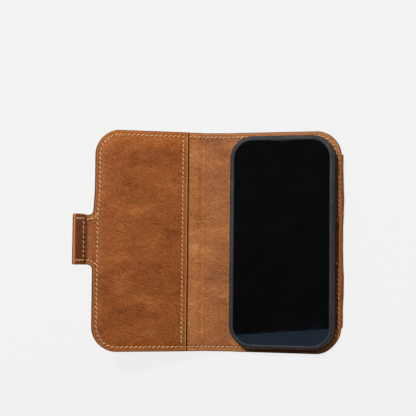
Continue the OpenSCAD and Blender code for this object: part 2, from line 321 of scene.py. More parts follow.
class Nodes:
    """Adds shader nodes. An input given as a socket is linked, and any other is set."""

    def __init__(self, name, **shader):
        self.material = bpy.data.materials.new(name)
        self.material.use_nodes = True
        self.tree = self.material.node_tree
        self.shader = self.tree.nodes["Principled BSDF"]
        self.fill(self.shader, shader)

    def put(self, socket, value):
        if isinstance(value, bpy.types.NodeSocket):
            self.tree.links.new(value, socket)
        else:
            socket.default_value = value

    def fill(self, node, inputs):
        for key, value in inputs.items():
            self.put(node.inputs[key.replace("_", " ")], value)

    def add(self, kind, output=0, props=None, **inputs):
        node = self.tree.nodes.new("ShaderNode" + kind)
        for key, value in (props or {}).items():
            setattr(node, key, value)
        self.fill(node, inputs)
        return node.outputs[output]

    def flat(self):
        """The place on the flat leather or thread."""
        return self.add("UVMap", props={"uv_map": "flat"})

    def axis(self, name):
        return self.add("SeparateXYZ", name, Vector=self.flat())

    def place(self):
        return self.add("TexCoord", "Object")

    def attribute(self, name):
        return self.add("Attribute", "Fac", props={"attribute_name": name})

    def noise(self, vector, scale, detail=4.0, roughness=0.55, distortion=0.0):
        how = dict(Scale=scale, Detail=detail, Roughness=roughness, Distortion=distortion)
        return self.add("TexNoise", Vector=vector, **how)

    def cells(self, vector, scale, feature="F1", randomness=1.0):
        props = {"feature": feature}
        return self.add("TexVoronoi", "Distance", props, Vector=vector, Scale=scale, Randomness=randomness)

    def stretch(self, vector, scale, turn=0.0, move=(0, 0, 0)):
        """Scales a texture along axes that are turned by an angle in degrees."""
        sizes = tuple(1 / value for value in scale)
        turned = dict(Scale=sizes, Rotation=(0, 0, math.radians(turn)), Location=move)
        return self.add("Mapping", props={"vector_type": "TEXTURE"}, Vector=vector, **turned)

    def math(self, operation, a, b=0.0):
        node = self.tree.nodes.new("ShaderNodeMath")
        node.operation = operation
        for socket, value in zip(node.inputs, (a, b)):
            self.put(socket, value)
        return node.outputs[0]

    def away(self, value, place):
        """How far a value is from a place."""
        return self.math("ABSOLUTE", self.math("SUBTRACT", value, place))

    def span(self, value, start, end, first=0.0, last=1.0, unit=1.0):
        """Value from start to end, smoothly, as first to last. Start and end count in units."""
        start, end = start * unit, end * unit
        names = dict(Value=value, From_Min=start, From_Max=end, To_Min=first, To_Max=last)
        return self.add("MapRange", props={"interpolation_type": "SMOOTHSTEP"}, **names)

    def band(self, value, places, most=1.0, unit=1.0):
        """Rises between the first two places, and falls to 0 between the last two."""
        up = self.span(value, *places[:2], unit=unit)
        return self.math("MULTIPLY", up, self.span(value, *places[2:], most, 0.0, unit))

    def mix(self, factor, a, b, blend="MIX"):
        return self.add("MixRGB", props={"blend_type": blend}, Fac=factor, Color1=a, Color2=b)

    def shade(self, color, tint):
        """A colour made darker or lighter by one factor for each channel."""
        return self.mix(1.0, color, (*tint, 1), "MULTIPLY")

    def mark(self, color, share, tint, of=None):
        """A colour with a mark over it, which is a shade of the colour itself or of another one."""
        return self.mix(share, color, self.shade(color if of is None else of, tint))

    def bump(self, height, distance_mm, normal=None):
        inputs = dict(Height=height, Distance=distance_mm * MM)
        if normal is not None:
            inputs["Normal"] = normal
        return self.add("Bump", **inputs)

    def done(self, **shader):
        self.fill(self.shader, shader)
        return self.material


def rgb(red, green, blue):
    """A colour given as 0 to 255 on a screen."""
    levels = (value / 255 for value in (red, green, blue))
    return tuple(v / 12.92 if v <= 0.04045 else ((v + 0.055) / 1.055) ** 2.4 for v in levels) + (1.0,)


EDGE_PAINT = rgb(50, 26, 14)
# Colour of the highlight painted along the pocket's free edge
PAINTED_LIP_HIGHLIGHT = rgb(232, 162, 90)

# Noises of the leather: size along x and y, turn in degrees, place, scale, detail, roughness and
# distortion of its clouds, patches, crease lines, veins and the places where folds gather
LEATHER_NOISES = (
    ((0.7, 1.15), -6, (0, 0), 34, 5, 0.6, 0.6),
    ((1, 2.2), 18, (0, 0), 75, 4, 0.6, 0.0),
    ((0.28, 1), -20, (0, 0), 420, 3, 0.5, 1.0),
    ((1, 0.3), 22, (3, 1), 260, 2, 0.5, 1.8),
    ((0.8, 1.3), -30, (2, 5), 48, 2, 0.55, 0.0),
)
SPECKLE_SCALE = 760
PEBBLE_SCALE = 1000
PORE_SCALE = 1700
RIPPLES = dict(Scale=170.0, Distortion=14.0, Detail=3.0, Detail_Scale=0.45)
CLOUD_SHARE = 0.55

# The part of a texture's range that a mark covers, and its least and most where these aren't 0 and 1
TONE = (0.25, 0.75)
SPECKLES = (0.38, 0.62)
PEBBLES = (0.3, 0.72, 0.0, 0.6)
CREASES = (0.0, 0.05, 0.5, 0.0)
CREASED_PATCHES = (0.35, 0.6, 0.3, 1.0)
PULLS = (0.6, 0.1, 0.0, 0.7)
PULLED_PLACES = (0.5, 0.62)
VEINS = (0.0, 0.022, 0.22, 0.0)
PORES = (0.0, 0.35, 0.35, 0.0)
FOLDS = (0.0, 0.06)

# The same for marks, painted light and painted shade by their distance in millimetres from an edge, a seam or
# a fold
WORN_AND_LIT_EDGE = (0.25, 2.8, 0.6, 0.0)
PAINTED_EDGE = (0.15, 0.75, 1.0, 0.0)
LIT_LIP = (0.0, 0.1, 0.4, 0.8)
LIT_LIP_SHARE = 0.95
FOLD_SHADE = (0.1, 0.5, 0.45, 0.0)
SEAM_SHADE = (0.15, 0.5, 0.6, 0.0)
SEAM_SHADE_IN = SEAM_IN + 0.9

# Places of marks, painted light and painted shade on the flat leather, in millimetres
# Painted light along the top: where it starts and where it is full
PAINTED_TOP_LIGHT_Y = (62, 73)
# Painted shade, darker towards the bottom, and on the lining darker towards the top: where it starts and is
# full
FALLOFF_SHADE_Y = (45, -60)
LINING_FALLOFF_SHADE_Y = (0, 60)
LIT_STRIP_X = (FRONT_X - 22, FRONT_X - 18, FRONT_X - 0.5, FRONT_X + 0.5)
LIT_STRIP_SHARE = 0.8
SLIT_SHADOW_X = (POCKET_X - 3, POCKET_X - 2, POCKET_X + 1.1, POCKET_X + 1.9)
SLIT_SHADOW_SHARE = 0.85
SHELL_SHADOW_X = (EDGE_X - 3.4, EDGE_X - 2.2, EDGE_X - 1.3, EDGE_X - 0.5)
SHELL_SHADOW_Y = (58, 64)
ROOT_X = (FRONT_EDGE, FRONT_EDGE + 1)
LIT_CORNER_X = (22, 29)
LIT_CORNER_Y = (-60, -67)

# Tints of the marks, painted light and painted shade: factors of red, green and blue
FALLOFF_SHADE_TINT = (0.92, 0.91, 0.9)
SPECK_TINTS = ((0.9, 0.88, 0.85), (1.22, 1.23, 1.23))
PIT_TINT = (0.7, 0.66, 0.6)
CREASE_TINT = (0.58, 0.5, 0.4)
PULL_TINT = (0.62, 0.54, 0.44)
WEAR_AND_HIGHLIGHT_TINT = (1.1, 1.06, 0.96)
PAINTED_TOP_LIGHT_TINT = (1.22, 1.2, 1.16)
LIT_STRIP_TINT = (1.36, 1.42, 1.55)
SEAM_SHADE_TINT = (0.5, 0.45, 0.4)
SLIT_SHADOW_TINT = (0.42, 0.32, 0.18)
SHELL_SHADOW_TINT = (0.5, 0.4, 0.3)
ROOT_TINT = (0.79, 0.84, 0.74)
LIT_CORNER_TINT = (1.9, 1.8, 1.5)

# Roughness where the clouds are thin and thick, against the leather's own
GLOSS_SPREAD = (-0.07, 0.09)


def painted_top_light(n, color, dark):
    """Painted light: a little lighter along the top, where the key light is near."""
    return n.mark(color, n.span(n.axis("Y"), *PAINTED_TOP_LIGHT_Y, unit=MM), PAINTED_TOP_LIGHT_TINT)


def lining_marks_and_painted_light(n, color, dark):
    """The lining's marks, most of them painted light and shade: a lighter strip along the spine (painted
    light), dark lines of painted shade in the fold's crease and the seam's groove, painted shadows under the
    pocket's edge and beside the shell, the tab's darker root and painted light on a corner.
    """
    across, down = n.axis("X"), n.axis("Y")
    # Painted light: the strip beside the front fold is made lighter, to make up for its tilt away from the
    # key light
    color = n.mark(color, n.band(across, LIT_STRIP_X, LIT_STRIP_SHARE, MM), LIT_STRIP_TINT)
    # Painted shade: a thin dark line in the crease at the front fold
    fold_shade = n.span(n.away(across, FRONT_X * MM), *FOLD_SHADE, MM)
    color = n.mix(fold_shade, color, dark)
    # Painted shade in the groove beside the seam
    color = n.mark(color, n.span(n.away(n.attribute("edge_mm"), SEAM_SHADE_IN), *SEAM_SHADE), SEAM_SHADE_TINT, dark)
    # Painted shadow on the lining along the pocket's free edge
    color = n.mark(color, n.band(across, SLIT_SHADOW_X, SLIT_SHADOW_SHARE, MM), SLIT_SHADOW_TINT, dark)
    # Painted shadow on the lining beside the shell's right side
    shell_shadow_reach = n.span(n.math("ABSOLUTE", down), *SHELL_SHADOW_Y, 1.0, 0.0, MM)
    shell_shadow = n.math("MULTIPLY", n.band(across, SHELL_SHADOW_X, 1.0, MM), shell_shadow_reach)
    color = n.mark(color, shell_shadow, SHELL_SHADOW_TINT)
    color = n.mark(color, n.span(across, *ROOT_X, 1.0, 0.0, MM), ROOT_TINT)
    # Painted light on the lower right corner, which lies in the shell's shadow
    lit_corner = n.math("MULTIPLY", n.span(across, *LIT_CORNER_X, unit=MM), n.span(down, *LIT_CORNER_Y, unit=MM))
    return n.mark(color, lit_corner, LIT_CORNER_TINT)


def leather(name, dark, middle, light, grain=1.0, seed=0.0, lip=False, roughness=0.5, paint=EDGE_PAINT,
            marks=painted_top_light, soiled=FALLOFF_SHADE_Y):
    """Waxed brown leather: cloudy colour, pebbled grain, fine creases and a painted cut edge, with painted
    light and shade on top: darker towards one end, a lighter rim by the cut edge that is partly wear and
    partly a painted highlight, what the marks function paints, and a painted highlight along a lip.
    """
    n = Nodes(name, Specular_IOR_Level=0.28)
    uv = n.stretch(n.flat(), (1, 1, 1), move=(seed, seed * 0.7, 0))
    clouds, patches, lines, veins, gathers = (
        n.noise(n.stretch(uv, (*size, 1), turn, (*move, 0)), *how)
        for size, turn, move, *how in LEATHER_NOISES
    )
    speckle = n.noise(uv, SPECKLE_SCALE, 4, 0.75)
    pebbles = n.cells(n.stretch(uv, (0.75, 1.25, 1), -24), PEBBLE_SCALE * grain, "SMOOTH_F1")
    pores = n.cells(uv, PORE_SCALE * grain)
    ripples = n.add("TexWave", 1, {"bands_direction": "Y"}, Vector=n.stretch(uv, (1, 1, 1), -18), **RIPPLES)

    cloudy = n.math("MULTIPLY", clouds, CLOUD_SHARE)
    tone = n.span(n.math("ADD", cloudy, n.math("MULTIPLY", patches, 1 - CLOUD_SHARE)), *TONE)
    color = n.mix(n.span(tone, 0.0, 0.5), dark, middle)
    color = n.mix(n.span(tone, 0.5, 1.0), color, light)
    # Painted shade in place of the key light's fall-off: darker towards the bottom, or on the lining towards
    # the top
    color = n.mark(color, n.span(n.axis("Y"), *soiled, unit=MM), FALLOFF_SHADE_TINT)
    color = n.mix(n.span(speckle, *SPECKLES), *(n.shade(color, tint) for tint in SPECK_TINTS))
    color = n.mark(color, n.span(pebbles, *PEBBLES), PIT_TINT)
    ridge = n.away(lines, 0.5)
    wrinkled = n.math("MULTIPLY", n.span(ridge, *CREASES), n.span(patches, *CREASED_PATCHES))
    color = n.mark(color, wrinkled, CREASE_TINT)
    pulled = n.math("MULTIPLY", n.span(ripples, *PULLS), n.span(gathers, *PULLED_PLACES))
    color = n.mark(color, pulled, PULL_TINT)
    color = n.mix(n.span(n.away(veins, 0.5), *VEINS), color, light)
    edge = n.attribute("edge_mm")
    # Lighter near the cut edge: partly wear, partly a painted highlight on the rounded edge
    color = n.mark(color, n.span(edge, *WORN_AND_LIT_EDGE), WEAR_AND_HIGHLIGHT_TINT, light)
    color = marks(n, color, dark)
    color = n.mix(n.span(edge, *PAINTED_EDGE), color, paint)
    # Painted highlight along the pocket's free edge
    if lip:
        strip = n.math("MULTIPLY", n.band(n.attribute("lip_mm"), LIT_LIP), LIT_LIP_SHARE)
        color = n.mix(strip, color, PAINTED_LIP_HIGHLIGHT)

    gloss = n.span(clouds, 0.3, 0.7, *(roughness + change for change in GLOSS_SPREAD))
    height = n.math("SUBTRACT", n.math("MULTIPLY", speckle, 0.25), n.math("MULTIPLY", pebbles, 1.0))
    height = n.math("SUBTRACT", height, n.math("MULTIPLY", n.span(pores, *PORES), 1.0))
    fine = n.bump(height, 0.10)
    folds = n.bump(n.span(ridge, *FOLDS), 0.10, fine)
    waves = n.bump(n.noise(uv, 150, 3, 0.5), 0.30, folds)
    return n.done(Base_Color=color, Roughness=gloss, Normal=waves)


THREAD_COLORS = (rgb(236, 188, 134), rgb(212, 160, 106))
THREAD_GROOVE_SHADE = rgb(150, 96, 54)
THREAD_HOLE_SHADE = rgb(50, 26, 12)
# Painted shade where a stitch goes into the leather: where it starts and is full along the stitch, in
# millimetres from its middle
HOLE_SHADE_AT = (1.3, 1.6)


def thread_material():
    """Waxed thread of two twisted plies, with painted shade in the groove between them and where it goes into
    the leather.
    """
    n = Nodes("thread", Roughness=0.6, Specular_IOR_Level=0.3)
    bands = {"wave_type": "BANDS", "bands_direction": "DIAGONAL"}
    twist = n.add("TexWave", 1, bands, Vector=n.flat(), Scale=0.62, Distortion=0.0)
    soil = n.noise(n.place(), 260, 3)
    pale = n.mix(n.span(soil, 0.35, 0.7), *THREAD_COLORS)
    # Painted shade in the groove between the plies
    twisted = n.mix(n.span(twist, 0.0, 0.5, 0.6, 0.0), pale, THREAD_GROOVE_SHADE)
    # Painted shade at the stitch's ends, where it goes into its hole
    hole_shade = n.span(n.math("ABSOLUTE", n.axis("X")), *HOLE_SHADE_AT)
    return n.done(Base_Color=n.mix(hole_shade, twisted, THREAD_HOLE_SHADE), Normal=n.bump(twist, 0.05))


def moulded(name, dark, light, roughness, grain=2600.0, depth=0.02, specular=0.35):
    """A moulded skin with a fine, even texture and faint handling marks."""
    n = Nodes(name, Specular_IOR_Level=specular)
    place = n.place()
    fine = n.noise(place, grain, 2, 0.6)
    marks = n.noise(place, 70, 4, 0.6)
    color = n.mix(n.span(marks, 0.3, 0.7), dark, light)
    gloss = n.span(marks, 0.3, 0.7, roughness + 0.05, roughness - 0.05)
    return n.done(Base_Color=color, Roughness=gloss, Normal=n.bump(fine, depth))


def glass_material():
    """Black cover glass over a screen that is off, with faint smears."""
    n = Nodes("phone_glass", IOR=1.5)
    smears = n.noise(n.stretch(n.place(), (1, 3, 1), 30), 38, 4, 0.55, 0.5)
    color = n.mix(n.span(smears, 0.3, 0.75), rgb(5, 6, 8), rgb(9, 10, 12))
    return n.done(Base_Color=color, Roughness=n.span(smears, 0.45, 0.8, 0.02, 0.05))


def metal(name, color, roughness):
    """Metal with a fine blasted surface and faint stains."""
    n = Nodes(name, Metallic=1.0)
    place = n.place()
    fine = n.noise(n.stretch(place, (1, 1, 6)), 2500.0, 2, 0.6)
    stains = n.span(n.noise(place, 90, 3), 0.3, 0.7, 0.0, 0.5)
    gloss = n.span(fine, 0.3, 0.7, roughness - 0.05, roughness + 0.08)
    tinted = n.mark(color, stains, (0.8, 0.8, 0.82))
    return n.done(Base_Color=tinted, Roughness=gloss, Normal=n.bump(fine, 0.006))


def flecked(name, texture, dark, light, part, depth, **shader):
    """A material whose texture gives both its colour, over a part of its range, and its relief."""
    n = Nodes(name, **shader)
    flecks = texture(n)
    color = n.mix(n.span(flecks, *part), rgb(*dark), rgb(*light))
    return n.done(Base_Color=color, Normal=n.bump(flecks, depth))


def microfibre_material():
    """Short dark pile."""
    shader = dict(Roughness=0.95, Specular_IOR_Level=0.1, Sheen_Weight=0.4)
    return flecked("microfibre", lambda n: n.noise(n.place(), 3200, 3, 0.7), (44, 45, 48), (86, 87, 90),
                   (0.3, 0.7), 0.12, **shader)


def mesh_material():
    """The fine woven mesh over the earpiece."""
    return flecked("mesh_metal", lambda n: n.cells(n.place(), 5200, randomness=0.0), (18, 22, 27),
                   (74, 88, 102), (0.2, 0.5), 0.03, Metallic=0.3, Roughness=0.45)


def fibre_material(name, dark, light, scale=900.0):
    """Pressed fibre board or bonding film."""
    return flecked(name, lambda n: n.noise(n.stretch(n.place(), (1, 0.4, 1), 25), scale, 4, 0.7), dark,
                   light, (0.35, 0.65), 0.05, Roughness=0.85, Specular_IOR_Level=0.2)


def grey(level):
    return (level, level, level, 1)


def floor_material():
    """A pale table that glows a little, which keeps the shadows on it soft."""
    n = Nodes("floor", Roughness=0.9, Specular_IOR_Level=0.1)
    clouds = n.noise(n.place(), 2.5, 2)
    color = n.mix(n.span(clouds, 0.3, 0.7), grey(0.05), grey(0.052))
    return n.done(Base_Color=color, Emission_Color=grey(1), Emission_Strength=FLOOR_GLOW)


def card_material():
    n = Nodes("card", Base_Color=grey(0), Roughness=1.0, Specular_IOR_Level=0.0)
    return n.done(Emission_Color=(0.30, 0.48, 0.70, 1), Emission_Strength=1.0)


# ---- flat outlines: rows of x, y and the outward direction ----


def arc(centre, radius, start, end, hollow=False, step=1.1):
    """Points on a round corner between two angles in degrees, with directions out of the leather."""
    count = max(4, int(abs(math.radians(end - start)) * radius / step))
    side = -1 if hollow else 1
    angles = np.radians(np.linspace(start, end, count + 1))
    wave = np.column_stack([np.cos(angles), np.sin(angles)])
    return np.column_stack([np.array(centre) + radius * wave, side * wave])


def line(start, end, out, step=1.6):
    """Points on a straight edge, without its two ends."""
    start, end = np.array(start, float), np.array(end, float)
    count = max(1, int(np.linalg.norm(end - start) / step))
    share = np.linspace(0, 1, count + 1)[1:-1, None]
    places = start + share * (end - start)
    return np.column_stack([places, np.tile(out, (len(places), 1))])


def point(x, y, out):
    return np.array([[x, y, *out]], float)


def mirrored(edge):
    """The edge below the middle that mirrors one above it, in the opposite order."""
    return edge[::-1] * np.array([1, -1, 1, -1])


def back_edges():
    top = np.vstack([
        point(SPINE_MID, HALF_H, (0, 1)),
        line((SPINE_MID, HALF_H), (EDGE_X - CORNER_R, HALF_H), (0, 1)),
        arc((EDGE_X - CORNER_R, STRAIGHT_Y), CORNER_R, 90, 0),
    ])
    side = line((EDGE_X, STRAIGHT_Y), (EDGE_X, -STRAIGHT_Y), (1, 0))
    return [np.vstack([top, side, mirrored(top)])]


def window_edge():
    """The camera window's edge, as a hole with round ends."""
    radius = WINDOW_HALF.x
    x, top, bottom = WINDOW.x, WINDOW.y + WINDOW_HALF.y - radius, WINDOW.y - WINDOW_HALF.y + radius
    return np.vstack([
        arc((x, top), radius, 0, 180, True),
        line((x - radius, top), (x - radius, bottom), (1, 0)),
        arc((x, bottom), radius, 180, 360, True),
        line((x + radius, bottom), (x + radius, top), (-1, 0)),
        point(x + radius, top, (-1, 0)),
    ])


def front_corner():
    return arc((FRONT_EDGE + CORNER_R, STRAIGHT_Y), CORNER_R, 90, 180)


def front_edges():
    fillet_y = TAB_HALF + TAB_FILLET
    top = np.vstack([
        point(SPINE_MID, HALF_H, (0, 1)),
        line((SPINE_MID, HALF_H), (FRONT_EDGE + CORNER_R, HALF_H), (0, 1)),
        front_corner(),
        line((FRONT_EDGE, STRAIGHT_Y), (FRONT_EDGE, fillet_y), (-1, 0)),
        arc((TAB_CUT, fillet_y), TAB_FILLET, 0, -90, True, step=0.7),
    ])
    return [top, mirrored(top)]


def tab_edges():
    corner_x, corner_y = TAB_END + TAB_CORNER_R, TAB_HALF - TAB_CORNER_R
    top = np.vstack([
        point(TAB_CUT, TAB_HALF, (0, 1)),
        line((TAB_CUT, TAB_HALF), (corner_x, TAB_HALF), (0, 1), step=0.8),
        arc((corner_x, corner_y), TAB_CORNER_R, 90, 180, step=0.4),
    ])
    end = line((TAB_END, corner_y), (TAB_END, -corner_y), (-1, 0))
    return [np.vstack([top, end, mirrored(top)])]


def pocket_sewn_edge():
    top = np.vstack([line((POCKET_X, HALF_H), (FRONT_EDGE + CORNER_R, HALF_H), (0, 1)), front_corner()])
    side = line((FRONT_EDGE, STRAIGHT_Y), (FRONT_EDGE, -STRAIGHT_Y), (-1, 0))
    return np.vstack([top, side, mirrored(top)])


def pocket_edges():
    free = line((POCKET_X, -HALF_H), (POCKET_X, HALF_H), (1, 0))
    first = point(POCKET_X, HALF_H, (1, 1))
    return [np.vstack([first, pocket_sewn_edge(), point(POCKET_X, -HALF_H, (1, -1)), free, first])]


# ---- leather sheets ----

FAR = 1e9
SAME_PLACE = 1e-4
NO_AREA = 1e-7
# Edge pieces that are measured in one go, which bounds the memory that this takes
EDGE_CHUNK = 40


def edge_distance(points, edges):
    """How far each point is from the nearest of the edges."""
    nearest = np.full(len(points), FAR)
    for edge in edges:
        for start in range(0, len(edge) - 1, EDGE_CHUNK):
            part = edge[start:start + EDGE_CHUNK + 1, :2]
            a, run = part[:-1], np.diff(part, axis=0)
            along = np.einsum("pij,ij->pi", points[:, None] - a, run) / np.maximum((run**2).sum(1), 1e-12)
            gap = points[:, None] - a - np.clip(along, 0, 1)[..., None] * run
            nearest = np.minimum(nearest, np.sqrt((gap**2).sum(2)).min(1))
    return nearest


def inside(points, loop):
    """Which points lie inside a closed loop of corners."""
    x, y = points[:, 0, None], points[:, 1, None]
    ax, ay = loop[:, 0], loop[:, 1]
    bx, by = np.roll(ax, -1), np.roll(ay, -1)
    crosses = (ay > y) != (by > y)
    run = np.where(by == ay, 1.0, by - ay)
    return (crosses & (x < (bx - ax) * (y - ay) / run + ax)).sum(1) % 2 == 1


# Depths of the rows of points along an edge, closest at the rounding and at the seam, and the
# grid of points inside them
RINGS = (0.0, 0.14, 0.42, 0.9, 1.6, 2.3, 2.75, 3.2, 3.65, 4.2, 5.2)
GRID = 1.5
REACH = RINGS[-1] + GRID * 0.6


def grid_marks(start, end):
    return np.arange(math.ceil(start / GRID), math.floor(end / GRID) + 1) * GRID


def flat_triangles(edges, holes):
    """Points and triangles that fill a flat outline, with rows that follow its edges."""
    places, links = [], []

    def add_row(row):
        first = sum(len(p) for p in places)
        places.append(row)
        links.extend((first + i, first + i + 1) for i in range(len(row) - 1))

    for edge in [*edges, *holes]:
        for depth in RINGS:
            add_row(edge[:, :2] - depth * edge[:, 2:])
    cut_places = []
    for here, after in zip(edges, edges[1:] + edges[:1]):
        if np.allclose(here[-1, :2], after[0, :2]):
            continue
        cut_x, half = here[-1, 0], abs(here[-1, 1])
        ends = [half - depth for depth in RINGS]
        count = int((half - REACH) / GRID)
        middle = [GRID * i for i in range(-count, count + 1)]
        rows = sorted([*ends, *middle, *(-e for e in ends)])
        cut_places.append(cut_x)
        add_row(np.column_stack([np.full(len(rows), cut_x), rows]))
    loop = np.vstack([edge[:, :2] for edge in edges])
    (x0, y0), (x1, y1) = loop.min(0), loop.max(0)
    points = np.array([(x, y) for x in grid_marks(x0, x1) for y in grid_marks(y0, y1)])
    points = points[inside(points, loop)]
    points = points[edge_distance(points, [*edges, *holes]) > REACH]
    for cut_x in cut_places:
        points = points[np.abs(points[:, 0] - cut_x) > GRID / 2]
    places.append(points)
    found = geometry.delaunay_2d_cdt([Vector(p) for p in np.vstack(places)], links, [], 0, SAME_PLACE)
    vertices = np.array([v[:] for v in found[0]])
    triangles = np.array([f for f in found[2] if len(f) == 3])
    a, b, c = (vertices[triangles[:, i]] for i in range(3))
    size = (b[:, 0] - a[:, 0]) * (c[:, 1] - a[:, 1]) - (b[:, 1] - a[:, 1]) * (c[:, 0] - a[:, 0])
    triangles[size < 0] = triangles[size < 0][:, ::-1]
    middle = (a + b + c) / 3
    keep = inside(middle, loop) & (np.abs(size) > NO_AREA)
    for hole in holes:
        keep &= ~inside(middle, hole[:-1, :2])
    triangles = triangles[keep]
    used = np.unique(triangles)
    renumber = np.zeros(len(vertices), int)
    renumber[used] = np.arange(len(used))
    return vertices[used], renumber[triangles]


def rounding(distance, radius):
    """How far a rounded edge drops below the face."""
    share = 1 - np.clip(distance / radius, 0, 1)
    return radius * (1 - np.sqrt(1 - share**2))


def open_sides(triangles):
    """The sides that only one triangle has, in its own direction."""
    sides = {}
    for i, j, k in triangles:
        for a, b in ((i, j), (j, k), (k, i)):
            if (b, a) in sides:
                del sides[(b, a)]
            else:
                sides[(a, b)] = True
    return sides


# The pocket's edge has neither its dark paint nor its lighter rim of wear and painted highlight where the
# tab's root begins
ROOT_UNMARKED = 3.0
ROOT_EASE = 1.5
ROOT_UNMARKED_X = (FRONT_EDGE + 5, FRONT_EDGE + 2)


def solid_sheet(name, edges, holes, top, bottom, material, round_top, round_bottom, hold, slot, nodes,
                lip=None):
    """A closed sheet of leather between two height rules, with rounded cut edges, bent to rest."""
    flat, triangles = flat_triangles(edges, holes)
    distance = edge_distance(flat, [*edges, *holes])
    x, y = flat[:, 0], flat[:, 1]
    upper = top(x, y, distance) - rounding(distance, round_top)
    lower = bottom(x, y, distance) + rounding(distance, round_bottom)
    count = len(flat)
    walls = [(a, a + count, b + count, b) for a, b in open_sides(triangles.tolist())]
    faces = [*triangles.tolist(), *(triangles[:, ::-1] + count).tolist(), *walls]
    points = np.vstack([np.column_stack([flat, upper]), np.column_stack([flat, lower])])
    made = link_mesh(name, bent(points), faces, material)
    add_flat_map(made, points[:, :2] * MM)
    if lip is not None:
        add_value(made, "lip_mm", np.tile(lip(x, y), 2))
        at_root = rise(np.abs(y), TAB_HALF + ROOT_EASE, TAB_HALF) * rise(x, *ROOT_UNMARKED_X)
        distance = distance + ROOT_UNMARKED * at_root
    add_value(made, "edge_mm", np.tile(distance, 2))
    joined = bmesh.new()
    joined.from_mesh(made.data)
    flats = [f for f in joined.faces if len(f.verts) == 3]
    bmesh.ops.join_triangles(joined, faces=flats, angle_face_threshold=0.2, angle_shape_threshold=0.6)
    joined.to_mesh(made.data)
    joined.free()
    hold(made)
    stand_for(made, slot, *nodes)


# Waves in leather: length, direction in degrees and share
RIPPLE_WAVES = ((61, 12, 0.42), (37, 100, 0.3), (23, 47, 0.18), (17, 151, 0.1))


def ripple(x, y, seed=0.0):
    """Slow waves in leather, between about -1 and 1."""
    total = 0.0
    for i, (length, turn, share) in enumerate(RIPPLE_WAVES):
        angle = math.radians(turn + 23 * seed)
        along = x * math.cos(angle) + y * math.sin(angle)
        total = total + np.sin(2 * math.pi * along / length + 1.7 * i + seed) * share
    return total


def dent(distance, middle, half):
    return np.exp(-(((distance - middle) / half) ** 2))


def cover_rise(x):
    """0 on the spine and on the tab's root, and 1 on the two covers."""
    on_back = rise(x, BACK_X + BEND, BACK_X + BEND + 3)
    on_front = rise(x, FRONT_X - BEND, FRONT_X - BEND - 3) * rise(x, FRONT_EDGE - 1.4, FRONT_EDGE - 0.2)
    return np.maximum(on_back, on_front)


# Depth and half width of the dent that a seam pulls into each leather
LINING_SEAM = (0.16, 0.55)
OUTER_SEAM = (0.34, 0.6)
TAB_SEAM = (0.10, 0.5)
POCKET_SEAM = (0.2, 0.55)
POCKET_EDGE_SEAM = (0.16, 0.55)
# The crease at the front cover's fold, in the same way
CREASE = (0.06, 0.5)
SHEET_RIPPLE = 0.05
POCKET_RIPPLE = 0.09
# The rise of the lining over the hidden magnet, and where it starts and is full
MAGNET_RISE = 0.16
MAGNET_Y = (17, 14.5)
MAGNET_X = (EDGE_X - 3.6, EDGE_X - 2.8)
MAGNET_END_X = (EDGE_X, EDGE_X - 0.8)
# How far the pocket's middle swells, and from how far in
POCKET_SWELL = 0.22
SEWN_IN = 4.0


def pulled_in(distance, middle, seam):
    depth, half = seam
    return depth * dent(distance, middle, half)


def lining_top(x, y, distance):
    thick = SHEET_T + (COVER_T - SHEET_T) * cover_rise(x)
    magnet = MAGNET_RISE * rise(np.abs(y), *MAGNET_Y) * rise(x, *MAGNET_X) * rise(x, *MAGNET_END_X)
    dents = pulled_in(distance, SEAM_IN, LINING_SEAM) + pulled_in(x, FRONT_X, CREASE)
    return thick - dents + magnet - SHEET_RIPPLE * (1 + ripple(x, y))


def lining_bottom(x, y, distance):
    on_board = rise(distance, BOARD_IN - 0.8, BOARD_IN - 0.2) * cover_rise(x)
    return LEATHER_T + (BOARD_TOP - LEATHER_T) * on_board


def outer_top(x, y, distance):
    return np.full(len(x), LEATHER_T)


def outer_bottom(x, y, distance):
    return pulled_in(distance, SEAM_IN, OUTER_SEAM) + SHEET_RIPPLE * (1 + ripple(x, y, 2.0))


def tab_top(x, y, distance):
    on_flap = rise(x, TAB_X - TAB_BEND, TAB_X - TAB_BEND - 1.4)
    pressed = pulled_in(distance, SEAM_IN, TAB_SEAM) * on_flap
    return SHEET_T + (TAB_T - SHEET_T) * on_flap - pressed - 0.04


def sewn_distance(x, y):
    return edge_distance(np.column_stack([x, y]), [pocket_sewn_edge()])


def pocket_top(x, y, distance):
    sewn, free = sewn_distance(x, y), POCKET_X - x
    face = COVER_T + POCKET_T + POCKET_GAP * rise(sewn, SEWN_IN, SEWN_IN + 3)
    seams = pulled_in(sewn, SEAM_IN, POCKET_SEAM) + pulled_in(free, POCKET_SEAM_IN, POCKET_EDGE_SEAM)
    swell = POCKET_SWELL * rise(sewn, SEWN_IN, SEWN_IN + 16) * rise(free, 5, 19)
    return face - seams + swell + POCKET_RIPPLE * ripple(x, y, 1.0) * rise(sewn, SEWN_IN, SEWN_IN + 6)


def pocket_bottom(x, y, distance):
    return COVER_T + 0.02 + POCKET_GAP * rise(sewn_distance(x, y), SEWN_IN + 0.4, SEWN_IN + 1.6)


def blend_at(piece):
    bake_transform(piece)


def bends_back(piece):
    blend_at(piece)


def bends_front(piece):
    blend_at(piece)


def bends_tab(piece):
    blend_at(piece)


def rides_front(piece):
    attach(piece, "front_cover")


def stand_for(piece, slot, *nodes):
    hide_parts(*nodes)


# Screen colours of each leather: dark, middle and light
LEATHER_COLORS = {
    "outer": ((112, 56, 22), (142, 76, 30), (168, 96, 42)),
    "lining": ((144, 83, 41), (171, 106, 56), (196, 128, 73)),
    "pocket": ((130, 67, 25), (159, 88, 36), (183, 109, 51)),
    # Painted shade: the tab's lining is a darker copy of the lining, for the flap that turns away from the
    # key light
    "tab_lining": ((110, 52, 20), (127, 65, 27), (146, 82, 38)),
    "turned_edge": ((126, 68, 18), (150, 84, 22), (174, 102, 32)),
}
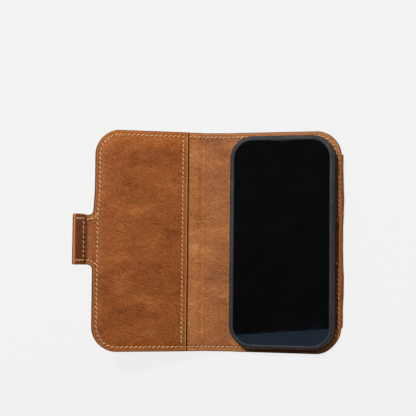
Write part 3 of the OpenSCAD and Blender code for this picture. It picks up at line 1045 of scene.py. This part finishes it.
# The flap's cut edge: a pale, unpainted edge, made paler still as painted light where it faces the key
FLAP_EDGE_RAW_AND_LIT = rgb(186, 116, 62)


def dyed_leather(kind, **how):
    return leather(f"{kind}_leather", *(rgb(*color) for color in LEATHER_COLORS[kind]), **how)


# Rounding of a cut edge, and of an edge that lies against another sheet
ROUNDED = 0.45
GLUED = 0.02


def make_leather():
    outer = dyed_leather("outer", seed=0.9, roughness=0.52)
    lining = dyed_leather("lining", grain=1.25, seed=0.2, roughness=0.62, marks=lining_marks_and_painted_light,
                          soiled=LINING_FALLOFF_SHADE_Y)
    facing = dyed_leather("pocket", seed=0.62, lip=True)
    shaded_flap = dyed_leather("tab_lining", seed=0.33, paint=FLAP_EDGE_RAW_AND_LIT)
    back, front, tab, window = back_edges(), front_edges(), tab_edges(), [window_edge()]
    below = (outer_top, outer_bottom, outer, GLUED)
    above = (lining_top, lining_bottom, lining)
    for sheet in (
        ("back_outer", back, window, *below, ROUNDED, bends_back, "outer_leather",
         ("back_cover_leather", "spine_leather")),
        ("back_lining", back, window, *above, ROUNDED, GLUED, bends_back, "lining_leather",
         ("back_cover_lining", "spine_lining")),
        ("front_outer", front, [], *below, ROUNDED, bends_front, "outer_leather",
         ("front_cover_leather", "spine_leather")),
        ("front_lining", front, [], *above, 0.35, GLUED, bends_front, "lining_leather",
         ("front_cover_lining", "spine_lining")),
        ("tab_outer", tab, [], *below, 0.4, bends_tab, "outer_leather", ("tab_leather",)),
        ("tab_inner", tab, [], tab_top, lining_bottom, shaded_flap, 0.4, GLUED, bends_tab, "lining_leather",
         ("tab_lining",)),
        ("pocket", pocket_edges(), [], pocket_top, pocket_bottom, facing, ROUNDED, 0.15, rides_front,
         "pocket_leather", ("pocket_panel",), lambda x, y: POCKET_X - x),
    ):
        solid_sheet(*sheet)
    make_turned_edge(dyed_leather("turned_edge", seed=0.7))


def skin(count, rings, first=0, closed=False, flip=False):
    """Faces over rings of count points each, with a cap at both ends unless it closes on itself."""
    faces = []
    for r in range(rings if closed else rings - 1):
        here, after = first + r * count, first + (r + 1) % rings * count
        for i in range(count):
            j = (i + 1) % count
            faces.append((here + i, here + j, after + j, after + i))
    if not closed:
        last = first + (rings - 1) * count
        faces.append(tuple(range(first, first + count))[::-1])
        faces.append(tuple(range(last, last + count)))
    return [face[::-1] for face in faces] if flip else faces


STRIP_STEP = 1.1
STRIP_AROUND = 14
# How far the strip reaches in from the cover's edge
STRIP_IN = 0.55
STRIP_SPARE = 0.25
STRIP_END = 1.6
# The strip swells on both sides of the magnet's middle: how much, at what height and how widely
STRIP_SWELL = 0.65
STRIP_SWELL_Y = (29, 13)
STRIP_WAVE = 0.05
NO_EDGE_MARKS_MM = 4.0


def make_turned_edge(material):
    """The strip of outer leather that is turned over the right edge, a little swollen by the magnet."""
    start, end = low("back_turned_edge"), high("back_turned_edge")
    out, thick = end.x - EDGE_X, end.z
    rows = np.arange(start.y, end.y + 0.01, STRIP_STEP)
    points, marks = [], []
    for y in rows:
        tapered = min(1.0, math.sqrt(max(0.02, min(y - start.y, end.y - y) / STRIP_END)))
        width = (out - STRIP_SPARE) * tapered + STRIP_WAVE * math.sin(y * 0.45)
        width += STRIP_SWELL * dent(abs(y), *STRIP_SWELL_Y)
        for turn in np.linspace(-math.pi / 2, math.pi / 2, STRIP_AROUND):
            swell = abs(math.cos(turn)) ** 0.4
            x = EDGE_X - STRIP_IN + (width + STRIP_IN) * swell
            points.append((x, y, thick / 2 * (1 + math.sin(turn) * (0.985 + 0.015 * swell))))
            marks.append((x, y))
        points.append((EDGE_X - STRIP_IN, y, thick / 2))
        marks.append((EDGE_X, y))
    made = link_mesh("turned_edge", points, skin(STRIP_AROUND + 1, len(rows)), material, 70)
    add_flat_map(made, np.array(marks) * MM)
    add_value(made, "edge_mm", np.full(len(points), NO_EDGE_MARKS_MM))
    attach(made, "back_cover")
    stand_for(made, "outer_leather", "back_turned_edge")


# ---- seams ----

STITCH_PITCH = 3.3
STITCH_L = 3.25
STITCH_R = 0.45
STITCH_SLANT = math.radians(23)
STITCH_FLAT = 0.8
STITCH_AROUND = 8
# Stations along half a stitch, from -1 to 1, the thread's width there and its height over the face
STATIONS = np.array([-1.0, -0.86, -0.5, 0.0, 0.5, 0.86, 1.0])
STITCH_WIDTH = np.array([0.3, 0.75, 1.0, 1.05, 1.0, 0.75, 0.3])
STITCH_RISE = 0.20 - 0.34 * np.abs(STATIONS) ** 2.4
# How far ahead and behind a path is read for a stitch's direction
LOOK = 0.4


def stitch_places(path):
    """Evenly spaced middles and directions along a path."""
    path = np.asarray(path, float)
    steps = np.linalg.norm(np.diff(path, axis=0), axis=1)
    along = np.concatenate([[0], np.cumsum(steps)])
    count = max(1, round(along[-1] / STITCH_PITCH))
    marks = (np.arange(count) + 0.5) * along[-1] / count
    behind, middle, ahead = (
        np.column_stack([np.interp(marks + shift, along, path[:, i]) for i in range(2)])
        for shift in (-LOOK, 0.0, LOOK)
    )
    run = ahead - behind
    return middle, run / np.linalg.norm(run, axis=1)[:, None]


def stitched(name, runs, material):
    """One mesh of stitches. A run is a path, its face's height rule, and 1 for a face turned up or -1."""
    points, faces, marks = [], [], []
    for path, height, face in runs:
        middles, directions = stitch_places(path)
        levels = height(middles[:, 0], middles[:, 1])
        slant = STITCH_SLANT * face
        for (x, y), (dx, dy), level in zip(middles, directions, levels):
            ux = dx * math.cos(slant) - dy * math.sin(slant)
            uy = dx * math.sin(slant) + dy * math.cos(slant)
            faces.extend(skin(STITCH_AROUND, len(STATIONS), len(points), flip=face > 0))
            for station, width, up in zip(STATIONS, STITCH_WIDTH, STITCH_RISE):
                on = station * STITCH_L / 2
                for a in np.arange(STITCH_AROUND) * 2 * math.pi / STITCH_AROUND:
                    side = STITCH_R * width * math.cos(a)
                    lift = up + STITCH_R * STITCH_FLAT * width * math.sin(a)
                    points.append((x + ux * on - uy * side, y + uy * on + ux * side, level + face * lift))
                    marks.append((on, a / math.pi))
    made = link_mesh(name, bent(np.array(points)), faces, material, 80)
    add_flat_map(made, np.array(marks))
    return made


def inset(edge):
    return edge[:, :2] - SEAM_IN * edge[:, 2:]


def on_lining(x, y):
    return lining_top(x, y, np.full(len(x), SEAM_IN))


def on_outer(x, y):
    return np.full(len(x), 0.64)


def on_pocket(x, y):
    return pocket_top(x, y, None)


def on_root(x, y):
    """The tab's root, and the pocket past the cover's edge."""
    return np.where(x > FRONT_EDGE + 0.6, on_pocket(x, y), on_lining(x, y))


def on_tab(x, y):
    return tab_top(x, y, np.full(len(x), SEAM_IN))


def both(x0, y0, x1, y1):
    """A straight path above the middle, and the one below it."""
    return [np.array([(x0, s * y0), (x1, s * y1)]) for s in (1, -1)]


def along(paths, height, face=1):
    return [(path, height, face) for path in paths]


# The magnet's seam turns in beside the shell: how far past the magnet's end, and to what place
MAGNET_CLEAR = 1.0
TURN_IN_FROM = 1.5
TURN_IN_TO = (0.3, 2.0)


def magnet_paths(back):
    """The back cover's seam on its inner side, which is drawn in round the hidden magnet."""
    turn_y = high("keeper_magnet").y + MAGNET_CLEAR
    column_x = high("back_turned_edge").x - SEAM_IN - 0.2
    upper = back[: int(np.argmax(back[:, 1] < STRAIGHT_Y))]
    column = np.array([(column_x - 0.2, STRAIGHT_Y), (column_x, STRAIGHT_Y - 3), (column_x, turn_y + 2.5)])
    into, to_y = TURN_IN_TO
    turn_in = np.array([(column_x, turn_y + TURN_IN_FROM), (SHELL_HIGH.x + into, turn_y - to_y)])
    sides = [upper, column, turn_in]
    return sides + [side * (1, -1) for side in sides]


def root_paths(row_y):
    """The rows over the tab's root, which curve into the seam of the cover."""
    turn = TAB_FILLET + SEAM_IN
    curve = arc((FRONT_EDGE + SEAM_IN - turn, row_y + turn), turn, -90, -25)[:, :2]
    row = np.vstack([(TAB_CUT - 1.0, row_y), curve])
    return [row, row * (1, -1)]


def make_seams():
    thread = thread_material()
    seam_y = HALF_H - SEAM_IN
    row_y = TAB_HALF - SEAM_IN
    edge_x = POCKET_X - POCKET_SEAM_IN
    column_x = TAB_X - 2.6
    back = inset(back_edges()[0])
    sewn = [inset(pocket_sewn_edge())]
    strips = both(SPINE_MID, seam_y, POCKET_X + 0.8, seam_y)
    rows = both(TAB_X - 1.2, row_y, TAB_END + 1.0, row_y)
    column = np.array([(edge_x, seam_y - 2.0), (edge_x, 2.0 - seam_y)])
    across = np.array([(column_x, row_y - 1.2), (column_x, 1.2 - row_y)])
    for name, runs, hold, nodes in (
        ("back_thread", along(magnet_paths(back), on_lining) + along([back], on_outer, -1), bends_back,
         ("back_cover_stitching", "spine_stitching")),
        ("strip_thread", along(strips, on_lining) + along(strips, on_outer, -1), bends_front,
         ("front_strip_stitching", "spine_stitching")),
        ("pocket_thread",
         along(sewn, on_pocket) + along(sewn, on_outer, -1) + along(root_paths(row_y), on_root), rides_front,
         ("front_cover_stitching",)),
        ("pocket_edge_thread", along([column], on_pocket), rides_front, ("pocket_edge_stitching",)),
        ("tab_thread", along([*rows, across], on_tab) + along(rows, on_outer, -1), bends_tab,
         ("tab_stitching",)),
    ):
        seam = stitched(name, runs, thread)
        hold(seam)
        stand_for(seam, "thread", *nodes)


# ---- shell and phone ----


def round_loop(half_w, half_h, radius, depth=0.0, middle=(0.0, 0.0), steps=20):
    """A closed loop round a rectangle with round corners, drawn in by a depth."""
    radius = max(radius, 0.01)
    loop = []
    for sx, sy, start in ((1, 1, 0), (-1, 1, 90), (-1, -1, 180), (1, -1, 270)):
        centre = (middle[0] + sx * (half_w - radius), middle[1] + sy * (half_h - radius))
        for i in range(steps + 1):
            angle = math.radians(start + 90 * i / steps)
            reach = radius - depth
            loop.append((centre[0] + reach * math.cos(angle), centre[1] + reach * math.sin(angle)))
    return np.array(loop)


def mend_normals(made):
    work = bmesh.new()
    work.from_mesh(made.data)
    bmesh.ops.remove_doubles(work, verts=work.verts, dist=1e-7)
    bmesh.ops.recalc_face_normals(work, faces=work.faces)
    work.to_mesh(made.data)
    work.free()


def loft(name, rings, material, closed=False, smooth_angle=40.0):
    """Skin over loops with the same number of points. A closed loft ends where it starts."""
    faces = skin(len(rings[0]), len(rings), closed=closed)
    made = link_mesh(name, np.vstack(rings), faces, material, smooth_angle)
    mend_normals(made)
    return made


def at_height(loop, z):
    return np.column_stack([loop, np.full(len(loop), z)])


# What is left straight between two round ends
SIDE_LEFT = 0.01


def pillow(half_w, half_h, radius, stations, middle=(0.0, 0.0), steps=20):
    """Loops for a plate: each station is a height and how far the loop is drawn in."""
    return [at_height(round_loop(half_w, half_h, radius, depth, middle, steps), z) for z, depth in stations]


def soft_slab(low_z, high_z, edge, foot=None):
    """Stations of a plate whose edges are rounded."""
    foot = edge if foot is None else foot
    turns = [(t, 1 - math.sqrt(1 - (1 - t) ** 2)) for t in (0.0, 0.3, 0.62, 1.0)]
    lower = [(low_z + foot * t, foot * drawn_in) for t, drawn_in in turns]
    upper = [(high_z - edge * t, edge * drawn_in) for t, drawn_in in turns[::-1]]
    return [(low_z, foot + 0.3), *lower, *upper, (high_z, edge + 0.3)]


LIP_OVER = 1.45
# The lip isn't quite even: it reaches further over the glass on the left and at the top
LIP_SHIFT = (0.2, -0.35)


def lip_profile():
    """The bumper's cross-section: how far in from its outer wall, and how high."""
    foot, top = SHELL_LOW.z, SHELL_HIGH.z
    inner = WALL + FIT_GAP
    reach = inner + LIP_OVER
    under = GLASS_TOP + 0.04
    return [
        (0.35, foot), (0.1, foot + 0.12), (0.0, foot + 0.4), (0.0, foot + 3.0), (0.0, top - 3.4),
        (0.02, top - 1.2), (0.12, top - 0.62), (0.36, top - 0.26), (0.75, top - 0.06), (1.2, top),
        (reach - 0.75, top), (reach - 0.35, top - 0.05), (reach - 0.1, top - 0.2), (reach, top - 0.38),
        (reach - 0.08, under), (inner, under), (WALL, under - 0.3), (WALL, foot + 2.0), (WALL, foot),
    ]


def cut_out(target, cutters):
    """Takes the cutters out of the target."""
    for cutter in cutters:
        step = target.modifiers.new("cut", "BOOLEAN")
        step.operation = "DIFFERENCE"
        step.solver = "EXACT"
        step.object = cutter
    view = bpy.context.evaluated_depsgraph_get()
    mesh = bpy.data.meshes.new_from_object(target.evaluated_get(view))
    target.modifiers.clear()
    target.data = mesh
    for cutter in cutters:
        bpy.data.objects.remove(cutter)
    mesh.shade_smooth()
    mesh.set_sharp_from_angle(angle=math.radians(40))


# Stations of a cutter that goes right through a wall of the shell
CUTTER = 3.0
BUTTON_GAP = 0.3
BUTTON_EDGE = (0.45, 0.1)
BUTTONS = {
    "side_button_cover": ("side_button", 1),
    "volume_up_cover": ("volume_up", -1),
    "volume_down_cover": ("volume_down", -1),
    "action_button_cover": ("action_button", -1),
}
# The openings in the bumper's lower wall: half their width and height, and their place across
END_SLOTS = (("port", 6.5, 3.0, 0.0), ("speaker", 4.5, 1.2, -17.0), ("speaker", 4.5, 1.2, 17.0))
GUARD_WALL = 1.3


def side_pad(name, middle, half, stations, side, x, material):
    """A plate with round ends, stood on the shell's side wall: its height becomes the way out."""
    rings = pillow(half.z, half.y, half.z - 2 * SIDE_LEFT, stations, (middle.z, middle.y), 8)
    rings = [np.column_stack([x + side * ring[:, 2], ring[:, 1], ring[:, 0]]) for ring in rings]
    return loft(name, rings, material)


def end_slot(name, half_w, half_h, x, y, z, material):
    """A slot through the bumper's lower wall, with round ends."""
    radius = min(half_w, half_h) - 2 * SIDE_LEFT
    rings = pillow(half_w, half_h, radius, [(-CUTTER, 0.0), (CUTTER, 0.0)], (x, z), 8)
    return loft(name, [np.column_stack([ring[:, 0], y + ring[:, 2], ring[:, 1]]) for ring in rings], material)


def make_bumper(rubber):
    rings = []
    for depth, z in lip_profile():
        over = smooth((depth - WALL - FIT_GAP) / 0.6) * (z > GLASS_TOP)
        middle = (LIP_SHIFT[0] * over, LIP_SHIFT[1] * over)
        rings.append(at_height(round_loop(SHELL_HIGH.x, SHELL_HIGH.y, SHELL_R, depth, middle, 24), z))
    bumper = loft("bumper", rings, rubber, closed=True, smooth_angle=45)
    cutters = []
    for node, (body, side) in BUTTONS.items():
        start, end = low(node), high(node)
        middle, half = (start + end) / 2, (end - start) / 2
        inner_x = min(abs(start.x), abs(end.x))
        through = [(-CUTTER, -BUTTON_GAP), (CUTTER, -BUTTON_GAP)]
        cutters.append(side_pad("slot", middle, half, through, side, side * SHELL_HIGH.x, rubber))
        domed = soft_slab(0.0, end.x - start.x, *BUTTON_EDGE)
        pad = side_pad(node + "_pad", middle, half, domed, side, side * inner_x, rubber)
        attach(pad, body)
        stand_for(pad, "shell_rubber", node)
    wall_y = SHELL_LOW.y + WALL / 2
    port_z = (PHONE_LOW.z + PHONE_HIGH.z + 0.1) / 2
    for name, half_w, half_h, x in END_SLOTS:
        cutters.append(end_slot(name, half_w, half_h, x, wall_y, port_z, rubber))
    cut_out(bumper, cutters)
    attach(bumper, "back_cover")
    stand_for(bumper, "shell_rubber", "shell_bumper")


def make_guard(rubber):
    """The soft ring round the camera window."""
    foot, top = low("camera_guard").z, high("camera_guard").z
    profile = [
        (0.0, foot + 0.3), (0.0, top), (GUARD_WALL, top), (GUARD_WALL, foot + 0.35),
        (GUARD_WALL - 0.25, foot + 0.08), (GUARD_WALL / 2, foot), (0.25, foot + 0.08),
    ]
    half = WINDOW_HALF
    stations = [(z, depth) for depth, z in profile]
    rings = pillow(half.x, half.y, half.x - SIDE_LEFT, stations, (WINDOW.x, WINDOW.y))
    guard = loft("window_guard", rings, rubber, closed=True)
    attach(guard, "back_cover")
    stand_for(guard, "shell_rubber", "camera_guard")


def make_shell():
    rubber = moulded("shell_rubber", rgb(31, 31, 34), rgb(40, 40, 43), 0.6)
    make_bumper(rubber)
    make_guard(rubber)


# Lens profiles: how far in from the rim, and the height over the lens's foot, or None for its top
LENS_RING = ((0, None), (0, 0.2), (0.2, 0), (0.9, 0), (1.1, 0.2), (1.1, None))
LENS_FACE = ((1.15, None), (1.15, 0.25), (2.6, 0.35), (2.8, 0.55), (4.3, 0.6), (4.5, 0.5), (5.9, 0.42))


def phone_plate(name, node, radius, edges, material, slot, steps=24, heights=None):
    """A plate of the phone, as wide as its CAD node. A radius of None gives it round ends."""
    start, end = low(node), high(node)
    middle, half = (start + end) / 2, (end - start) / 2
    radius = min(half.x, half.y) - SIDE_LEFT if radius is None else radius
    stations = soft_slab(*(heights or (start.z, end.z)), *edges)
    piece = loft(name, pillow(half.x, half.y, radius, stations, (middle.x, middle.y), steps), material)
    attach(piece, "phone")
    stand_for(piece, slot, node)


def make_phone():
    glass = glass_material()
    casing = metal("phone_metal", rgb(70, 72, 77), 0.36)
    dark = metal("camera_metal", rgb(58, 59, 63), 0.3)
    glass_r = PHONE_R - 0.5
    slit = (GLASS_TOP - 0.1, GLASS_TOP + 0.03)
    phone_plate("handset_frame", "phone_frame", PHONE_R, (0.7,), casing, "phone_metal")
    phone_plate("cover_glass", "phone_display", glass_r, (0.32, 0.05), glass, "phone_glass")
    phone_plate("rear_glass", "phone_back_glass", glass_r, (0.05, 0.3), glass, "phone_glass")
    phone_plate("earpiece", "phone_earpiece", None, (0.04,), mesh_material(), "mesh_metal", 6, slit)
    phone_plate("camera_island", "phone_camera_island", None, (0.05, 0.5), dark, "camera_metal", 20)
    make_lenses(dark)


def make_lenses(dark):
    """Two lenses, each a metal ring round stepped black glass."""
    start, end = low("phone_camera_lenses"), high("phone_camera_lenses")
    radius = (end.x - start.x) / 2
    lens = moulded("lens_glass", rgb(6, 7, 10), rgb(12, 14, 20), 0.12, 900.0, 0.001, 0.6)
    for place, y in (("lower", start.y + radius), ("upper", end.y - radius)):
        for name, material, profile in (("lens_ring", dark, LENS_RING), ("lens_face", lens, LENS_FACE)):
            stations = [(end.z if up is None else start.z + up, depth) for depth, up in profile]
            rings = pillow(radius, radius, radius, stations, ((start.x + end.x) / 2, y), 10)
            made = loft(f"{name}_{place}", rings, material, closed=name == "lens_ring")
            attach(made, "phone")
            stand_for(made, "lens_glass", "phone_camera_lenses")


def dress_inner_parts():
    """CAD nodes that keep their shape take a finished material."""
    board = fibre_material("board", (150, 138, 116), (186, 174, 150))
    magnet = metal("magnet", rgb(186, 188, 190), 0.3)
    for node, material in {
        "back_cover_board": board,
        "front_cover_board": board,
        "keeper_magnet": magnet,
        "tab_magnet": magnet,
        "shell_adhesive": fibre_material("adhesive", (206, 203, 194), (226, 224, 216), 500.0),
        "shell_back_plate": moulded("shell_plastic", rgb(34, 35, 37), rgb(46, 47, 49), 0.5, 1800.0),
        "shell_liner": microfibre_material(),
    }.items():
        data = frame["nodes"][node].data
        data.materials.clear()
        data.materials.append(material)


# ---- the scene ----

bpy.context.scene.view_settings.view_transform = "Standard"
make_camera()
make_lights()
make_sky()
make_floor(floor_material())
make_card(card_material())
make_leather()
make_seams()
make_shell()
make_phone()
dress_inner_parts()
